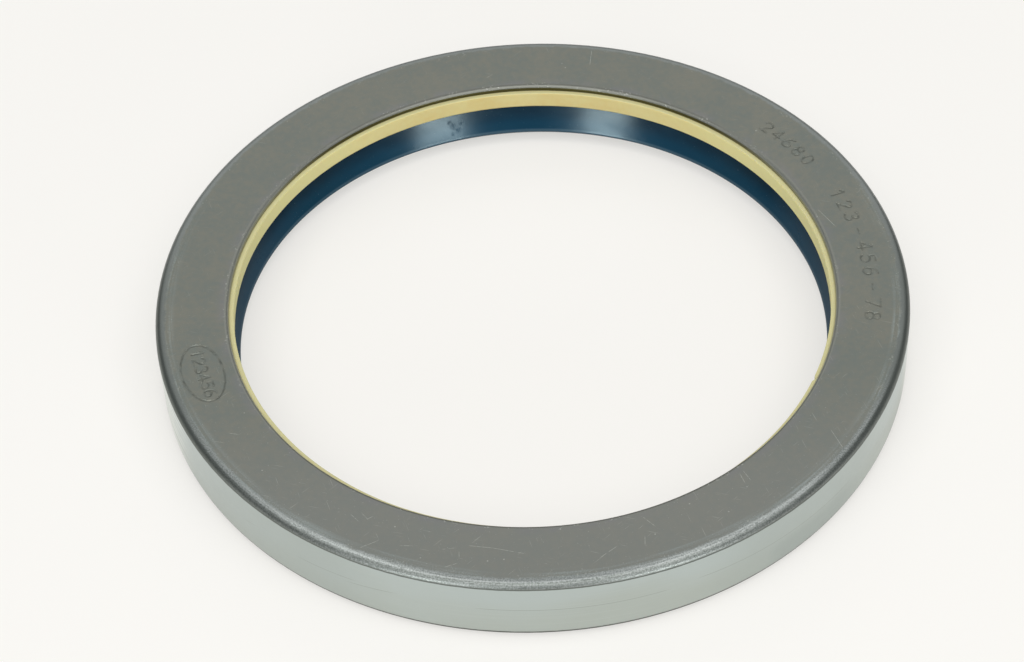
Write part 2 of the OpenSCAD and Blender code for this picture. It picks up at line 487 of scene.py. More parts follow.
PUNCHES = {
    "0": [bow(0.3, 0.5, 0.28, 0.5, 0, 360)],
    "1": [np.array([(0.1, 0.76), (0.32, 1.0), (0.32, 0.0)])],
    "2": [np.concatenate([bow(0.3, 0.73, 0.27, 0.27, 170, -40), [(0.02, 0.0), (0.6, 0.0)]])],
    "3": [bow(0.28, 0.76, 0.26, 0.24, 150, -90), bow(0.28, 0.27, 0.29, 0.27, 90, -150)],
    "4": [np.array([(0.42, 0.0), (0.42, 1.0), (0.0, 0.3), (0.6, 0.3)])],
    "5": [np.concatenate([[(0.55, 1.0), (0.1, 1.0)], bow(0.27, 0.32, 0.3, 0.32, 125, -150)])],
    "6": [bow(0.3, 0.29, 0.28, 0.29, 0, 360), bow(0.6, 0.35, 0.58, 0.66, 100, 180)],
    "7": [np.array([(0.0, 1.0), (0.6, 1.0), (0.2, 0.0)])],
    "8": [bow(0.3, 0.77, 0.22, 0.23, 0, 360), bow(0.3, 0.28, 0.28, 0.28, 0, 360)],
    "-": [np.array([(0.08, 0.5), (0.52, 0.5)])],
}
print("punches:", " ".join(PUNCHES))

# %% [markdown]
# The marks follow the ring. Most have their tops outwards and run clockwise. The one in the oval
# has its tops inwards and runs the other way. A mark is a text, the bearing of its first sign and
# the step to the next in degrees, its radius, and the height of its signs. A dash takes a wider
# step. Each stroke keeps the bearing and the radius of its sign's middle, and its points are
# counted from there, clockwise and outwards. The numbers mean nothing in particular.

# %% Where the marks are
MARKS = [
    ("123-456-78", 20.4, -3.0, 67.75, 2.9),
    ("24680", 41.1, -2.7, 67.5, 2.8),
    ("123456", -168.6, 1.86, 67.35, -2.4),
]
DASH_EXTRA = 0.7
WIDER = 1.15
OVAL_BEARING = -164.0
OVAL_R = 67.36
OVAL_LONG = 7.7
OVAL_BROAD = 4.1


def placed(text, bearing, step, radius, height):
    """The strokes of a text, each with the bearing and the radius of its sign's middle."""
    strokes = []
    for n, sign in enumerate(text):
        if n:
            bearing += step + math.copysign(DASH_EXTRA if "-" in (sign, text[n - 1]) else 0, step)
        for stroke in PUNCHES[sign]:
            path = (stroke - SIGN_MIDDLE) * (WIDER * height, height)
            strokes.append((math.radians(bearing), radius, path))
    return strokes


strokes = [stroke for mark in MARKS for stroke in placed(*mark)]
strokes.append((math.radians(OVAL_BEARING), OVAL_R, bow(0, 0, OVAL_LONG, OVAL_BROAD, 0, 360)))
print(len(strokes), "strokes")

# %% [markdown]
# The case's grid is fine only at the bearings where there are marks, and coarse on the rest of the
# ring. The punch of the large hole stood a little off centre, so the points round the hole move to
# -Y. That shift fades out towards a radius a little wider than the hole.

# %% The case's skin
FINE = 0.115
COARSE = 2.0
MARKED = [(-172.0, -156.0), (-11.5, 22.5), (28.5, 43.0)]
OFF_CENTRE = 0.12
PULL_REACH = 2.0
PULL_FADE = 1.2
FACE_END = 2.0


def bearings():
    """Angles for a full turn in degrees, finer where there are marks."""
    stops = [-180.0] + [stop for span in MARKED for stop in span] + [180.0]
    parts = []
    for n, (start, end) in enumerate(zip(stops[:-1], stops[1:])):
        count = math.ceil((end - start) / (FINE if n % 2 else COARSE))
        parts.append(np.linspace(start, end, count, endpoint=False))
    return np.concatenate(parts)


case_angles = np.radians(bearings())
case_grid = revolved(case_outline, case_angles)
case_grid[..., 1] -= OFF_CENTRE * np.clip((rim_r + PULL_REACH - case_outline[:, :1]) / PULL_FADE, 0, 1)
on_face = np.isclose(case_outline[:, 1], face_z) & (case_outline[:, 0] < case_r - FACE_END)
rows = np.flatnonzero(on_face)
face_radius = np.repeat(case_outline[rows, 0], len(case_angles))
face_bearing = np.tile(case_angles, len(rows))
print("case grid:", case_grid.shape[:2], "with", len(rows), "rows on the face")

# %% [markdown]
# The stamped shape is a distance in disguise. For every point of the face we ask how far it is
# from the nearest stroke. Close to the stroke the metal is pressed down to the full depth, then
# it rises in a soft S over the flank, and beyond that the face stays flat. A hand-struck mark is
# deeper in some places than in others, so two crossed waves over x and y scale its depth. Only
# points within a margin of a stroke's own reach are measured, and all others count as far away.

# %% Pressing the strokes in
STROKE_HALF = 0.06
FLANK = 0.22
DEPTH = 0.13
FAR = 9.0
MARGIN = 1.0
UNEVEN = 0.22
WAVE_ONE = (2.3, 1.1)
WAVE_TWO = (-0.9, 1.7)


def distance_to(points, path):
    """Distance from each point to a path: on each straight piece, the foot of the perpendicular is
    at the share t of its length, held between 0 and 1, and the nearest piece counts."""
    start, step = path[:-1], np.diff(path, axis=0)
    away = points[:, None] - start
    t = np.clip((away * step).sum(-1) / (step * step).sum(-1), 0, 1)
    return np.linalg.norm(away - t[..., None] * step, axis=-1).min(1)


nearest = np.full(len(face_radius), FAR)
for bearing, radius, path in strokes:
    spots = np.stack([(bearing - face_bearing) * radius, face_radius - radius], -1)
    reach = np.abs(path).max() + MARGIN
    close = np.flatnonzero(np.abs(spots).max(-1) < reach)
    nearest[close] = np.minimum(nearest[close], distance_to(spots[close], path))

rise = np.clip((nearest - STROKE_HALF) / FLANK, 0, 1)
face_at = np.stack([face_radius * np.cos(face_bearing), face_radius * np.sin(face_bearing)], -1)
strike = 1 - UNEVEN + UNEVEN * np.sin(face_at @ WAVE_ONE) * np.cos(face_at @ WAVE_TWO)
pressed = DEPTH * strike * (1 - rise * rise * (3 - 2 * rise))
case_grid[rows, :, 2] -= pressed.reshape(len(rows), -1)
print("pressed points:", int((pressed > 0.01).sum()), "deepest %.2f mm" % pressed.max())

# %% [markdown]
# The steel shows several finishes, and each is a zone that a point's radius and height can tell.
# The air side is satin grey, as it left the press, with faint warm and cool clouds. The pressed
# corner is raw and grainy, with fine lines from the draw, and a dark line parts it from the ground
# wall. On the near side its inner half is painted lighter: painted light where it turns to the
# lamp over the front. The wall ends where the metal is turned in, and that raw edge is painted dark,
# also as painted shade where the ring meets the bench. At the hole, the rolled edge is smooth, and
# the cut under it is torn metal, painted darker also as the shade of the gap under the rim.
# Where round the ring a point lies is told by x and by y over its radius.

# %% Zones of the steel
TURNED_IN_Z = 1.65
WALL_TOP_Z = 13.7
WALL_R = 74.4
CORNER_R = 73.05
PARTING_LOW_Z = 13.25
PARTING_TOP_Z = 14.0
BAND_IN_R = 72.85
BAND_OUT_R = 73.95
BAND_LOW_Z = 14.6
ROLLED_R = 61.25
ROLLED_LOW_Z = 14.05
CUT_R = 60.925
CUT_TOP_Z = 14.56
STAMPED_Z = 14.93
STAMPS_IN_R = 62.7
STAMPS_OUT_R = 71.9

steel = Finish("pressed_steel", {"Metallic": 1.0})
wander = steel.noise(1.6, 3.0) - 0.5
base_zone = (steel.z + wander * 0.2).below(TURNED_IN_Z, 0.15)
wall_zone = (steel.z + wander * 0.15).below(WALL_TOP_Z, 0.06) * steel.radius.above(WALL_R, 0.2)
wall_zone = wall_zone * (1 - base_zone)
corner_zone = (steel.radius + wander * 1.2).above(CORNER_R, 0.35) * (1 - wall_zone)
parting = (steel.z + wander * 0.15).below(PARTING_TOP_Z, 0.1) * steel.z.above(PARTING_LOW_Z, 0.05)
parting = parting * corner_zone
sideways = steel.sideways()
side = sideways.between(0.45, 0.9)
near_side = (steel.y * -1 / steel.radius).between(0.3, 0.72)
far_side = (steel.y / steel.radius).between(-0.05, 0.45)
rolled_zone = steel.radius.below(ROLLED_R, 0.15) * steel.z.above(ROLLED_LOW_Z, 0.05)
# Painted shade: the torn cut is painted darker also for the shade of the gap under the rim, less at the left
# and right.
cut_zone = steel.z.below(CUT_TOP_Z, 0.06) * steel.radius.below(CUT_R, 0.075)
cut_zone = cut_zone * (1 - sideways.between(0.6, 0.95) * 0.7)
# Painted light: the near half of the corner's inner band is painted lighter where it turns to the lamp.
lit_band = (steel.radius + wander * 0.9).above(BAND_IN_R, 0.2) * steel.radius.below(BAND_OUT_R, 0.2)
lit_band = lit_band * near_side * steel.z.above(BAND_LOW_Z, 0.1)
stamp_zone = steel.z.below(STAMPED_Z, 0.04) * steel.radius.below(STAMPS_OUT_R, 0.1)
stamp_zone = stamp_zone * steel.radius.above(STAMPS_IN_R, 0.1)
print("zones of", steel.material.name, "are set")

# %% [markdown]
# Noise that is stretched far along X and Y but hardly along Z turns into thin layers, and where
# the wall cuts those layers we see streaks that run round the ring. On the corner the lines of the
# draw follow both the height and the radius. The wall is a little bluer at its top, warmer and
# duller towards the bench, and duller at one place on the near right. To both sides it is painted
# dimmer, a painted reflection of the dim room, and at its left and right ends it is painted lighter
# and streakier, a painted glare where it mirrors the light at a grazing angle. The corner's inner
# band carries a painted highlight, the glints of the two low lamps, at its brightest to both sides
# of the middle. The grain is painted at full strength on the near side only, as painted light where
# the corner turns to the lamp, and the far side is paler and even.

# %% Texture of the wall and of the corner
WALL_COOL = tone(187, 196, 194)
WALL_WARM = tone(181, 188, 182)
WALL_WORN = tone(192, 199, 195)
WALL_DIM = tone(170, 178, 174)
WALL_GLARE = tone(236, 240, 234)
RAW_DARK = tone(96, 101, 97)
RAW_LIGHT = tone(154, 158, 155)
RAW_SIDE_SHADE = tone(92, 98, 93)
LIT_BAND_DARK = tone(124, 129, 126)
LIT_BAND_LIGHT = tone(188, 192, 190)
GLINT = tone(226, 231, 227)
TURNED_IN_SHADE = tone(80, 83, 77)
GLINT_R = 73.275
ARC_END_R = 74.5
DULL_FROM_X = 42.0
DULL_TO_X = 61.0
GLARE_FROM_X = -66.0
GLARE_AGAIN_X = 70.8

streaks = steel.noise(0.3, 3.0, (0.006, 0.006, 1.0))
broad = steel.noise(16.0, 2.0, (0.6, 0.6, 1.5))
ground = steel.mixed((steel.z * -0.05 + broad + 0.4).between(0.2, 0.9), WALL_COOL, WALL_WARM)
ground = steel.mixed(streaks.between(0.5, 0.75) * broad.between(0.35, 0.6) * 0.5, ground, WALL_WORN)
# Painted reflection: the wall is painted dimmer to both sides; one duller place on the near right.
dim = sideways.between(0.36, 0.55) * sideways.between(0.93, 0.8) * 0.45
near_half = steel.y.between(0, -1)
dull = steel.x.above(DULL_FROM_X, 4.0) * steel.x.below(DULL_TO_X, 5.0) * steel.z.between(10.0, 5.0)
ground = steel.mixed(dim | dull * near_half, ground, WALL_DIM)
# Painted glare: the wall's left and right ends are painted lighter and streakier.
glare = steel.x.between(GLARE_FROM_X, GLARE_FROM_X - 6.5) + steel.x.between(GLARE_AGAIN_X, GLARE_AGAIN_X + 2.7)
glare = glare * near_half * (0.2 + steel.noise(1.0, 3.0, (0.03, 0.03, 1.0)).between(0.35, 0.6) * 0.7)
ground = steel.mixed(glare, ground, WALL_GLARE)

grain = steel.noise(0.3, 3.0)
lay = steel.node("ShaderNodeCombineXYZ", {}, {
    "X": steel.x * 0.05, "Y": steel.y * 0.05, "Z": (steel.z - steel.radius) * 2.4})
draw_lines = steel.noise(1.0, 3.0, at=lay)
grainy = grain * 0.9 + draw_lines * 0.5
raw_share = grainy.between(0.42, 1.0) + steel.radius.above(ARC_END_R, 0.2) * 0.2
# Painted light: the grain keeps full contrast only on the near side; the far side is paler and even.
raw_share = 0.4 + far_side * 0.35 + (raw_share - 0.4) * (near_side * 0.85 + 0.15)
raw = steel.mixed(raw_share, RAW_DARK, RAW_LIGHT)
# Painted shade: the corner is darker at the left and right, deepening its dark mirror band.
raw = steel.mixed(side * (1 - far_side) * steel.radius.between(73.4, 74.1) * 0.5, raw, RAW_SIDE_SHADE)
band_share = grainy.between(0.42, 0.98)
raw = steel.mixed(lit_band, raw, steel.mixed(band_share, LIT_BAND_DARK, LIT_BAND_LIGHT))
# Painted highlight: glints of the two low lamps on the corner's inner band, to both sides of the middle.
painted_glint = steel.radius.above(GLINT_R, 0.225) * steel.radius.below(BAND_OUT_R, 0.2) * near_side
painted_glint = painted_glint * sideways.between(0.15, 0.4) * sideways.between(0.8, 0.62)
painted_glint = painted_glint * (0.22 + band_share * 0.58) * (1 - steel.x.between(36.0, 48.0) * 0.4)
raw = steel.mixed(painted_glint, raw, GLINT)
# Painted shade: the raw turned-in edge is painted dark, also for the shade where the ring meets the bench.
raw = steel.mixed(base_zone, raw, TURNED_IN_SHADE)
print("shader nodes of the steel so far:", len(steel.tree.nodes))

# %% [markdown]
# A scratch is a thin mask: near zero distance across its line, and inside its two ends along it.
# The longer ones are given in a short list, from x and y to x and y. The many fine ones
# come from noise that is stretched along one direction, of which only the highest crests are kept.
# The wall has a few fine lines too, and these go from x and height to x and height.

# %% Scratches, specks and the wall's lines
SCRATCHES = [
    (-26.2, -64.0, -23.2, -64.2), (-18.6, -65.3, -16.0, -65.1), (-13.6, -64.7, -9.2, -65.5),
    (-9.2, -65.5, -3.2, -67.2), (-15.4, -66.0, -15.4, -67.4), (-18.1, -69.5, -15.7, -68.7),
    (10.5, -68.8, 13.6, -66.4), (18.8, -59.7, 20.9, -62.0), (18.9, -64.3, 18.8, -66.4),
    (-33.9, -64.2, -30.2, -62.5), (-7.5, 63.7, -6.3, 64.6), (14.7, 66.4, 15.3, 70.9),
    (59.0, 19.1, 62.1, 14.0), (55.6, -40.4, 58.6, -48.1), (-58.9, -34.5, -57.1, -34.9),
    (-35.4, -56.0, -34.0, -57.7), (-33.3, -55.9, -32.2, -57.4), (-32.4, -57.3, -31.3, -56.7),
    (37.5, -50.2, 38.3, -52.6), (38.2, -49.6, 39.4, -51.9),
]
SPECKS = [
    (-10.2, -68.5), (-7.2, -68.3), (-22.5, -67.1), (-20.8, -61.0), (8.7, 67.2), (-56.2, -29.4),
    (7.0, -71.3), (3.4, -61.7), (20.8, -63.9), (48.4, 43.4), (-52.3, -44.2), (9.4, 65.8),
    (38.6, -53.5), (27.6, -57.0), (34.7, -59.3), (-27.2, -59.4), (-37.7, -55.3),
]
FINE_TURNS = (0.3, 1.25, 2.4)
FINE_STRETCH = (0.22, 5.0, 0.2)
FINE_LEVEL = 0.71
WALL_LINES = [
    (-14.0, 8.0, 24.0, 8.0), (27.7, 8.4, 60.2, 7.2), (-57.1, 7.0, -53.0, 8.6), (-47.0, 7.3, -34.0, 8.2),
    (-37.7, 6.9, -26.7, 8.3),
]


def scratch(finish, x0, y0, x1, y1, half=0.09):
    """1 on the line between two points: its length and its width each fade out softly."""
    length = math.hypot(x1 - x0, y1 - y0)
    ux, uy = (x1 - x0) / length, (y1 - y0) / length
    along = finish.x * ux + finish.y * uy - (x0 * ux + y0 * uy)
    across = finish.x * -uy + finish.y * ux - (y0 * ux - x0 * uy)
    ends = along.between(-0.3, 0.5) * along.between(length + 0.3, length - 0.5)
    return abs(across).between(half, 0) * ends


def wall_line(finish, x0, z0, x1, z1):
    """1 on a fine, slightly wavy line on the near wall, between two places given by x and height."""
    level = z0 + (finish.x - x0) * ((z1 - z0) / (x1 - x0))
    off = finish.z - level + (finish.noise(30.0) - 0.5) * 0.3
    ends = finish.x.between(x0, x0 + 3.0) * finish.x.between(x1, x1 - 3.0)
    return abs(off).between(0.1, 0.02) * ends * finish.y.between(0, -1)


def speck(finish, x, y, half=0.2):
    """1 at a point, and 0 from half a speck's width on."""
    return ((finish.x - x) ** 2 + (finish.y - y) ** 2).between(half * half, 0)


def fine_scratches(finish, turn):
    """Thin lines in one direction: noise stretched along it, cut off below a level."""
    settings = {"rotation_type": "Z_AXIS"}
    turned = finish.node("ShaderNodeVectorRotate", settings, {"Vector": finish.at, "Angle": turn})
    return finish.noise(1.0, 1.0, FINE_STRETCH, turned).between(FINE_LEVEL, FINE_LEVEL + 0.08)


marks = any_of([scratch(steel, *line) for line in SCRATCHES] + [speck(steel, *spot) for spot in SPECKS])
marks = marks * steel.noise(0.5).between(0.3, 0.55)
wear = 0.25 + steel.y.between(20.0, -50.0) * 0.3
marks = marks | any_of(fine_scratches(steel, turn) for turn in FINE_TURNS) * wear
marks = marks | steel.noise(0.3, 1.0).between(0.71, 0.79) * (wear + 0.2)
wall_lines = any_of(wall_line(steel, *line) for line in WALL_LINES)
print(len(SCRATCHES), "scratches,", len(SPECKS), "specks and", len(WALL_LINES), "lines on the wall")

# %% [markdown]
# Towards the outer corner the air side has been handled most, and a bluish rubbed band shows there
# on the near half. Now the zones are laid over each other like coats of paint: first the air
# side, then the band and the marks, the rolled edge and its chips, the stamps, the torn cut, the
# corner, and the ground wall last.

# %% Colours of the steel
FACE_WARM = tone(136, 136, 126)
FACE_COOL = tone(129, 134, 128)
FACE_NEAR_LIT = tone(146, 147, 142)
FACE_EDGE = tone(139, 138, 140)
RUBBED = tone(170, 180, 179)
SCUFF = tone(214, 216, 206)
ROLLED = tone(126, 127, 120)
ROLLED_SIDE_HIGHLIGHT = tone(190, 192, 184)
TORN_AND_SHADED = tone(92, 88, 58)
STAMPED_SHADE = tone(92, 95, 88)
PARTING = tone(108, 113, 109)
WALL_LINE = tone(158, 164, 159)

clouds = (steel.noise(9.0) * 0.45 + steel.noise(1.1, 4.0) * 0.6).between(0.35, 0.72)
face = steel.mixed(clouds, FACE_WARM, FACE_COOL)
# Painted light: the air side is lighter towards the near side.
face = steel.mixed(steel.y.between(-20.0, -60.0) * 0.6, face, FACE_NEAR_LIT)
tinge = steel.radius.between(63.5, 61.0) * steel.noise(5.0).between(0.4, 0.6)
face = steel.mixed(tinge * 0.5, face, FACE_EDGE)
handled = steel.y.between(40.0, 5.0) * steel.noise(12.0).between(0.25, 0.6)
rub_lines = steel.noise(1.25, 4.0, at=lay)
band = steel.radius.between(70.6, 73.0) * handled * (grain * 0.4 + rub_lines * 0.7).between(0.45, 0.75)
face = steel.mixed(band * 0.7, face, RUBBED)
face = steel.mixed(marks * 0.5, face, SCUFF)
# Painted highlight: the rolled edge is lighter at the left and right, most at its top.
rolled = sideways.between(0.5, 0.92) * (0.22 + steel.z.between(14.92, 14.65) * 0.78)
rolled = steel.mixed(rolled, ROLLED, ROLLED_SIDE_HIGHLIGHT)
face = steel.mixed(rolled_zone, face, rolled)
chipped = steel.radius.between(61.8, 61.2) * 0.4 + steel.radius.between(72.0, 72.8) * 0.35
chips = steel.noise(0.4, 1.0).between(0.63, 0.7) * steel.noise(3.5).between(0.48, 0.58) * chipped
face = steel.mixed(chips, face, SCUFF)
# Painted shade: the pressed strokes are darker in patches.
face = steel.mixed(stamp_zone * steel.noise(1.5).between(0.35, 0.6) * 0.6, face, STAMPED_SHADE)
colour = steel.mixed(cut_zone, face, TORN_AND_SHADED)
colour = steel.mixed(corner_zone, colour, raw)
colour = steel.mixed(parting, colour, PARTING)
ground = steel.mixed(wall_lines, ground, WALL_LINE)
colour = steel.mixed(wall_zone, colour, ground)
steel.feed("Base Color", colour)

FACE_ROUGH = 0.4
RAW_ROUGH = 0.38
GROUND_ROUGH = 0.24
STEEL_RELIEF = 0.016
roughness = FACE_ROUGH + clouds * 0.05 + corner_zone * (RAW_ROUGH - FACE_ROUGH)
roughness = roughness + wall_zone * (streaks * 0.12 + (GROUND_ROUGH - RAW_ROUGH))
steel.feed("Roughness", roughness)

height = steel.noise(0.35, 2.0) * (0.2 * (1 - wall_zone)) + grain * corner_zone * 0.5
height = height + streaks * wall_zone * 0.2 - marks * (1 - wall_zone) * 0.3
steel.bump(height, STEEL_RELIEF)
piece("outer_case", case_grid, steel)

# %% [markdown]
# ## The scraper ring
#
# The scraper is moulded from cream polyurethane: a washer that the case clamps, and a collar that
# tapers down from the scraping edge.

# %% Outline of the scraper ring
scrape_r, washer_r, scrape_z, washer_z = sizes["scraper_ring"]
WASHER = 1.6
COLLAR_ROOT = 2.95
COLLAR_END = 0.85
RELIEF = 0.15
LAND = 0.5
LAND_TOP_GAP = 0.15

scraper_outline = outline([
    (scrape_r, washer_z, 0.15, 0.5),
    (washer_r, washer_z, 0.45, 4.0),
    (washer_r, washer_z - WASHER, 0.3, 4.0),
    (scrape_r + COLLAR_ROOT, washer_z - WASHER, 0.6, 0.8),
    (scrape_r + RELIEF + COLLAR_END, scrape_z, 0.15, 1.0),
    (scrape_r + RELIEF, scrape_z, 0.15, 0.6),
    (scrape_r, washer_z - LAND_TOP_GAP - LAND, 0.1, 0.5),
])
print("scraper outline:", len(scraper_outline), "points")

# %% [markdown]
# Soft plastic is never quite true, so its inner edges wander by a few hundredths of a millimetre.
# On the near side the edge is pressed back by up to 0.7 mm, and there is a nick in it. The list
# gives bearings in degrees, and how far back the edge stands there. The upper part of the collar
# follows the edge, its lower part only wobbles, and both fade out at the middle height.

# %% The scraper's skin
PRESSED_BACK = [
    (-145, 0), (-130, 0.12), (-118, 0.35), (-95, 0.5), (-80, 0.62), (-55, 0.68), (-44, 0.45),
    (-35, 0.3), (-20, 0.15), (0, 0),
]
SCRAPER_STEPS = 900
WOBBLE = 0.04
RIPPLE = 0.015
NICK_BEARING = -25.7
NICK_DEPTH = 0.5
NICK_HALF = 0.5
COLLAR_REACH = 1.4
INNER_SKIN = 0.4
MIDDLE_Z = 11.5
FADE = 1.5


def wander_round(angles, seed, waves, first=3):
    """A smooth wobble round the ring: a sum of sines with random phases that fits a full turn."""
    draw = np.random.default_rng(seed)
    number = first + np.arange(waves)
    size = draw.normal(size=waves) / number ** 0.5
    phase = draw.uniform(0, 2 * np.pi, waves)
    return (size * np.sin(np.outer(angles, number) + phase)).sum(1) / waves ** 0.5


def bump_at(angles, bearing, half):
    """exp(-2 (off / half)^2): 1 at a bearing, a seventh of that half degrees off, and soon 0."""
    off = (np.degrees(angles) - bearing + 180) % 360 - 180
    return np.exp(-(off / half) ** 2 * 2)


scraper_angles = all_round(SCRAPER_STEPS)
scraper_grid = revolved(scraper_outline, scraper_angles)
bearing_of = (np.degrees(scraper_angles) + 180) % 360 - 180
pressed_back = np.interp(bearing_of, *zip(*PRESSED_BACK))
wobble = WOBBLE * wander_round(scraper_angles, 4, 40) + RIPPLE * wander_round(scraper_angles, 5, 60, 60)
nick = NICK_DEPTH * bump_at(scraper_angles, NICK_BEARING, NICK_HALF)
outline_r, above_middle = scraper_outline[:, 0], (scraper_outline[:, 1] - MIDDLE_Z) / FADE
upper = np.clip(above_middle, 0, 1) * np.clip(scrape_r + COLLAR_REACH - outline_r, 0, 1)
lower = np.clip(-above_middle, 0, 1) * (outline_r < scrape_r + INNER_SKIN)
edge_shift = np.maximum(nick + pressed_back + wobble * 0.5, 0)
shift = np.outer(upper, edge_shift) + np.outer(lower, np.maximum(wobble, 0))
outward = np.stack([np.cos(scraper_angles), np.sin(scraper_angles)], -1)
scraper_grid[..., :2] += shift[..., None] * outward
print("the scraping edge wanders by %.3f mm" % np.ptp(shift))

# %% [markdown]
# Polyurethane is a little see-through, so its colour is deep and even, with soft warmer and
# greener clouds. At the left and right of the ring it is painted lighter, painted light, and the
# ledge under the steel rim has a darker cream of its own. It turns darker towards the steel edge
# above it and the rubber below it: partly dirt, partly painted shade between the parts. Its
# surface is satin with the faint marks of the mould round the ring.

# %% The scraper's finish
CREAM = tone(230, 215, 152)
CREAM_WARM = tone(227, 206, 139)
CREAM_SIDE_LIT = tone(248, 239, 172)
CREAM_LEDGE = tone(206, 199, 148)
CREAM_GRIME_SHADE = tone(120, 110, 66)
LEDGE_Z = 13.72
UNDER_RIM_R = 60.25
CREAM_RELIEF = 0.012

cream = Finish("cream_polyurethane", {
    "Subsurface Weight": 0.12, "Subsurface Radius": (0.9, 0.7, 0.3), "Subsurface Scale": 0.0008,
    "Specular IOR Level": 0.4, "IOR": 1.5})
cloudy = (cream.noise(7.0) * 0.6 + cream.noise(1.2, 3.0) * 0.4).between(0.35, 0.7)
low_end = cream.z.between(scrape_z + 0.4, scrape_z - 0.1)
ledge = cream.z.above(LEDGE_Z, 0.04)
sideways = cream.sideways()
# Painted shade: the ledge by the steel rim and the collar's lower end are darker, partly dirt and partly
# shade between the parts.
under_rim = cream.radius.above(UNDER_RIM_R, 0.1) * ledge * (0.65 - sideways * 0.35)
grime_and_shade = under_rim | low_end * 0.5
cream_colour = cream.mixed(cloudy, CREAM, CREAM_WARM)
# Painted light: the cream is lighter at the left and right of the ring.
cream_colour = cream.mixed(sideways.between(0.3, 0.95), cream_colour, CREAM_SIDE_LIT)
cream_colour = cream.mixed(ledge, cream_colour, CREAM_LEDGE)
cream.feed("Base Color", cream.mixed(grime_and_shade, cream_colour, CREAM_GRIME_SHADE))
cream_lines = cream.noise(0.4, 2.0, (0.03, 0.03, 1.0))
cream.feed("Roughness", 0.46 + cream_lines * 0.12)
cream.bump(cream_lines * 0.6 + cream.noise(0.5), CREAM_RELIEF)
piece("scraper_ring", scraper_grid, cream)

# %% [markdown]
# ## The sealing lip
#
# The rubber is one moulding: a lining bonded to the insert, a flexing membrane, and the lip with
# the groove for the spring. The groove is an arc in the outline, so its points are put in as
# corners with no rounding of their own.

# %% Outline of the rubber
lip_r, lining_r, nose_z, rubber_z = sizes["sealing_lip"]
spring_in_r, spring_out_r, spring_low_z, spring_top_z = sizes["garter_spring"]
spring_r = (spring_in_r + spring_out_r) / 2
spring_z = (spring_low_z + spring_top_z) / 2
GROOVE_R = 1.15
LIP_Z = 3.2
LIP_LAND = 0.35
INSERT_UNDER_Z = 11.2
WRAP_IN_R = 63.2
WRAP_OUT_R = 64.5
MEMBRANE = 1.4
LINING = 1.0
LINING_END_Z = 2.0
NOSE = 2.0
SHOULDER = 0.3
SHOULDER_RISE = 0.5
GROOVE_FROM = 50
GROOVE_TO = 280
GROOVE_POINTS = 22
RUBBER_STEPS = 512
shoulder_z = spring_z + GROOVE_R + SHOULDER
slope = (WRAP_IN_R - lip_r) / (INSERT_UNDER_Z - LIP_Z - LIP_LAND / 2)


def membrane_out(z):
    """Radius of the membrane's hidden face at a height: the seen face, and the thickness across."""
    return lip_r + (z - LIP_Z - LIP_LAND / 2) * slope + MEMBRANE * math.hypot(1, slope)


groove_turn = np.radians(np.linspace(GROOVE_FROM, GROOVE_TO, GROOVE_POINTS))
groove = [(spring_r + GROOVE_R * math.cos(a), spring_z + GROOVE_R * math.sin(a), 0, 9.0) for a in groove_turn]
lip_outline = outline([
    (lip_r, LIP_Z - LIP_LAND / 2, 0.06, 0.2),
    (lip_r, LIP_Z + LIP_LAND / 2, 0.06, 0.6),
    (WRAP_IN_R, INSERT_UNDER_Z, 0.6, 0.6),
    (WRAP_IN_R, rubber_z, 0.15, 0.6),
    (WRAP_OUT_R, rubber_z, 0, 1.0),
    (WRAP_OUT_R, INSERT_UNDER_Z, 0, 3.0),
    (lining_r, INSERT_UNDER_Z, 0.2, 3.0),
    (lining_r, LINING_END_Z, 0, 0.6),
    (lining_r - LINING, LINING_END_Z, 0.3, 1.2),
    (lining_r - LINING, INSERT_UNDER_Z - LINING, 1.2, 1.2),
    (membrane_out(INSERT_UNDER_Z - LINING), INSERT_UNDER_Z - LINING, 1.2, 0.8),
    (membrane_out(shoulder_z + SHOULDER_RISE), shoulder_z + SHOULDER_RISE, 0.3, 0.4),
    (groove[0][0], shoulder_z, 0.15, 0.3),
    *groove,
    (groove[-1][0], nose_z, 0.3, 0.4),
    (lip_r + NOSE, nose_z, 0.3, 0.5),
])
rubber_grid = revolved(lip_outline, all_round(RUBBER_STEPS))
print("rubber outline:", len(lip_outline), "points, groove round", round(spring_r, 2), "mm")

# %% [markdown]
# The rubber is dark blue and glossy. Almost all that we see of it is reflection, so its roughness
# matters more than its colour: smears and dust make the gloss uneven, and a few small smudges
# break the two highlights. Towards the lip's edge the blue is painted a little lighter, painted
# light on the lower part of the cone, and the trimmed edge itself is lighter: partly its abraded
# skin, partly a painted highlight.

# %% The rubber's finish
NAVY = tone(0, 38, 59)
NAVY_LIGHT = tone(4, 46, 68)
NAVY_LOW_LIT = tone(0, 57, 82)
DUST_AND_SHEEN = tone(96, 118, 130)
SHEEN_TINT = (0.74, 0.93, 0.98, 1.0)
SMUDGES = [(-15.2, 6.1, 0.7), (-15.9, 6.9, 0.5), (-14.2, 5.2, 0.6), (-15.3, 4.6, 0.4), (-13.6, 6.3, 0.4)]
RUBBER_RELIEF = 0.012


def smudged(finish, x, z, half):
    """1 at a place on the far side given by x and height, 0 from 1.4 times half a smudge's width on."""
    return ((finish.x - x) ** 2 + (finish.z - z) ** 2).between(half * half * 2, 0) * finish.y.between(0, 1)


navy = Finish("navy_rubber", {"Specular IOR Level": 0.5, "IOR": 1.5, "Specular Tint": SHEEN_TINT})
smears = navy.noise(5.0, 3.0, (0.5, 0.5, 1.6)).between(0.35, 0.75)
dust = navy.noise(0.3, 2.0).between(0.7, 0.8)
# The trimmed lip edge is lighter: partly its abraded skin, partly a painted highlight.
lip_edge_wear_and_sheen = navy.z.between(LIP_Z + 0.7, LIP_Z + 0.3) * navy.radius.between(60.0, 59.6)
navy_colour = navy.mixed(smears, NAVY, NAVY_LIGHT)
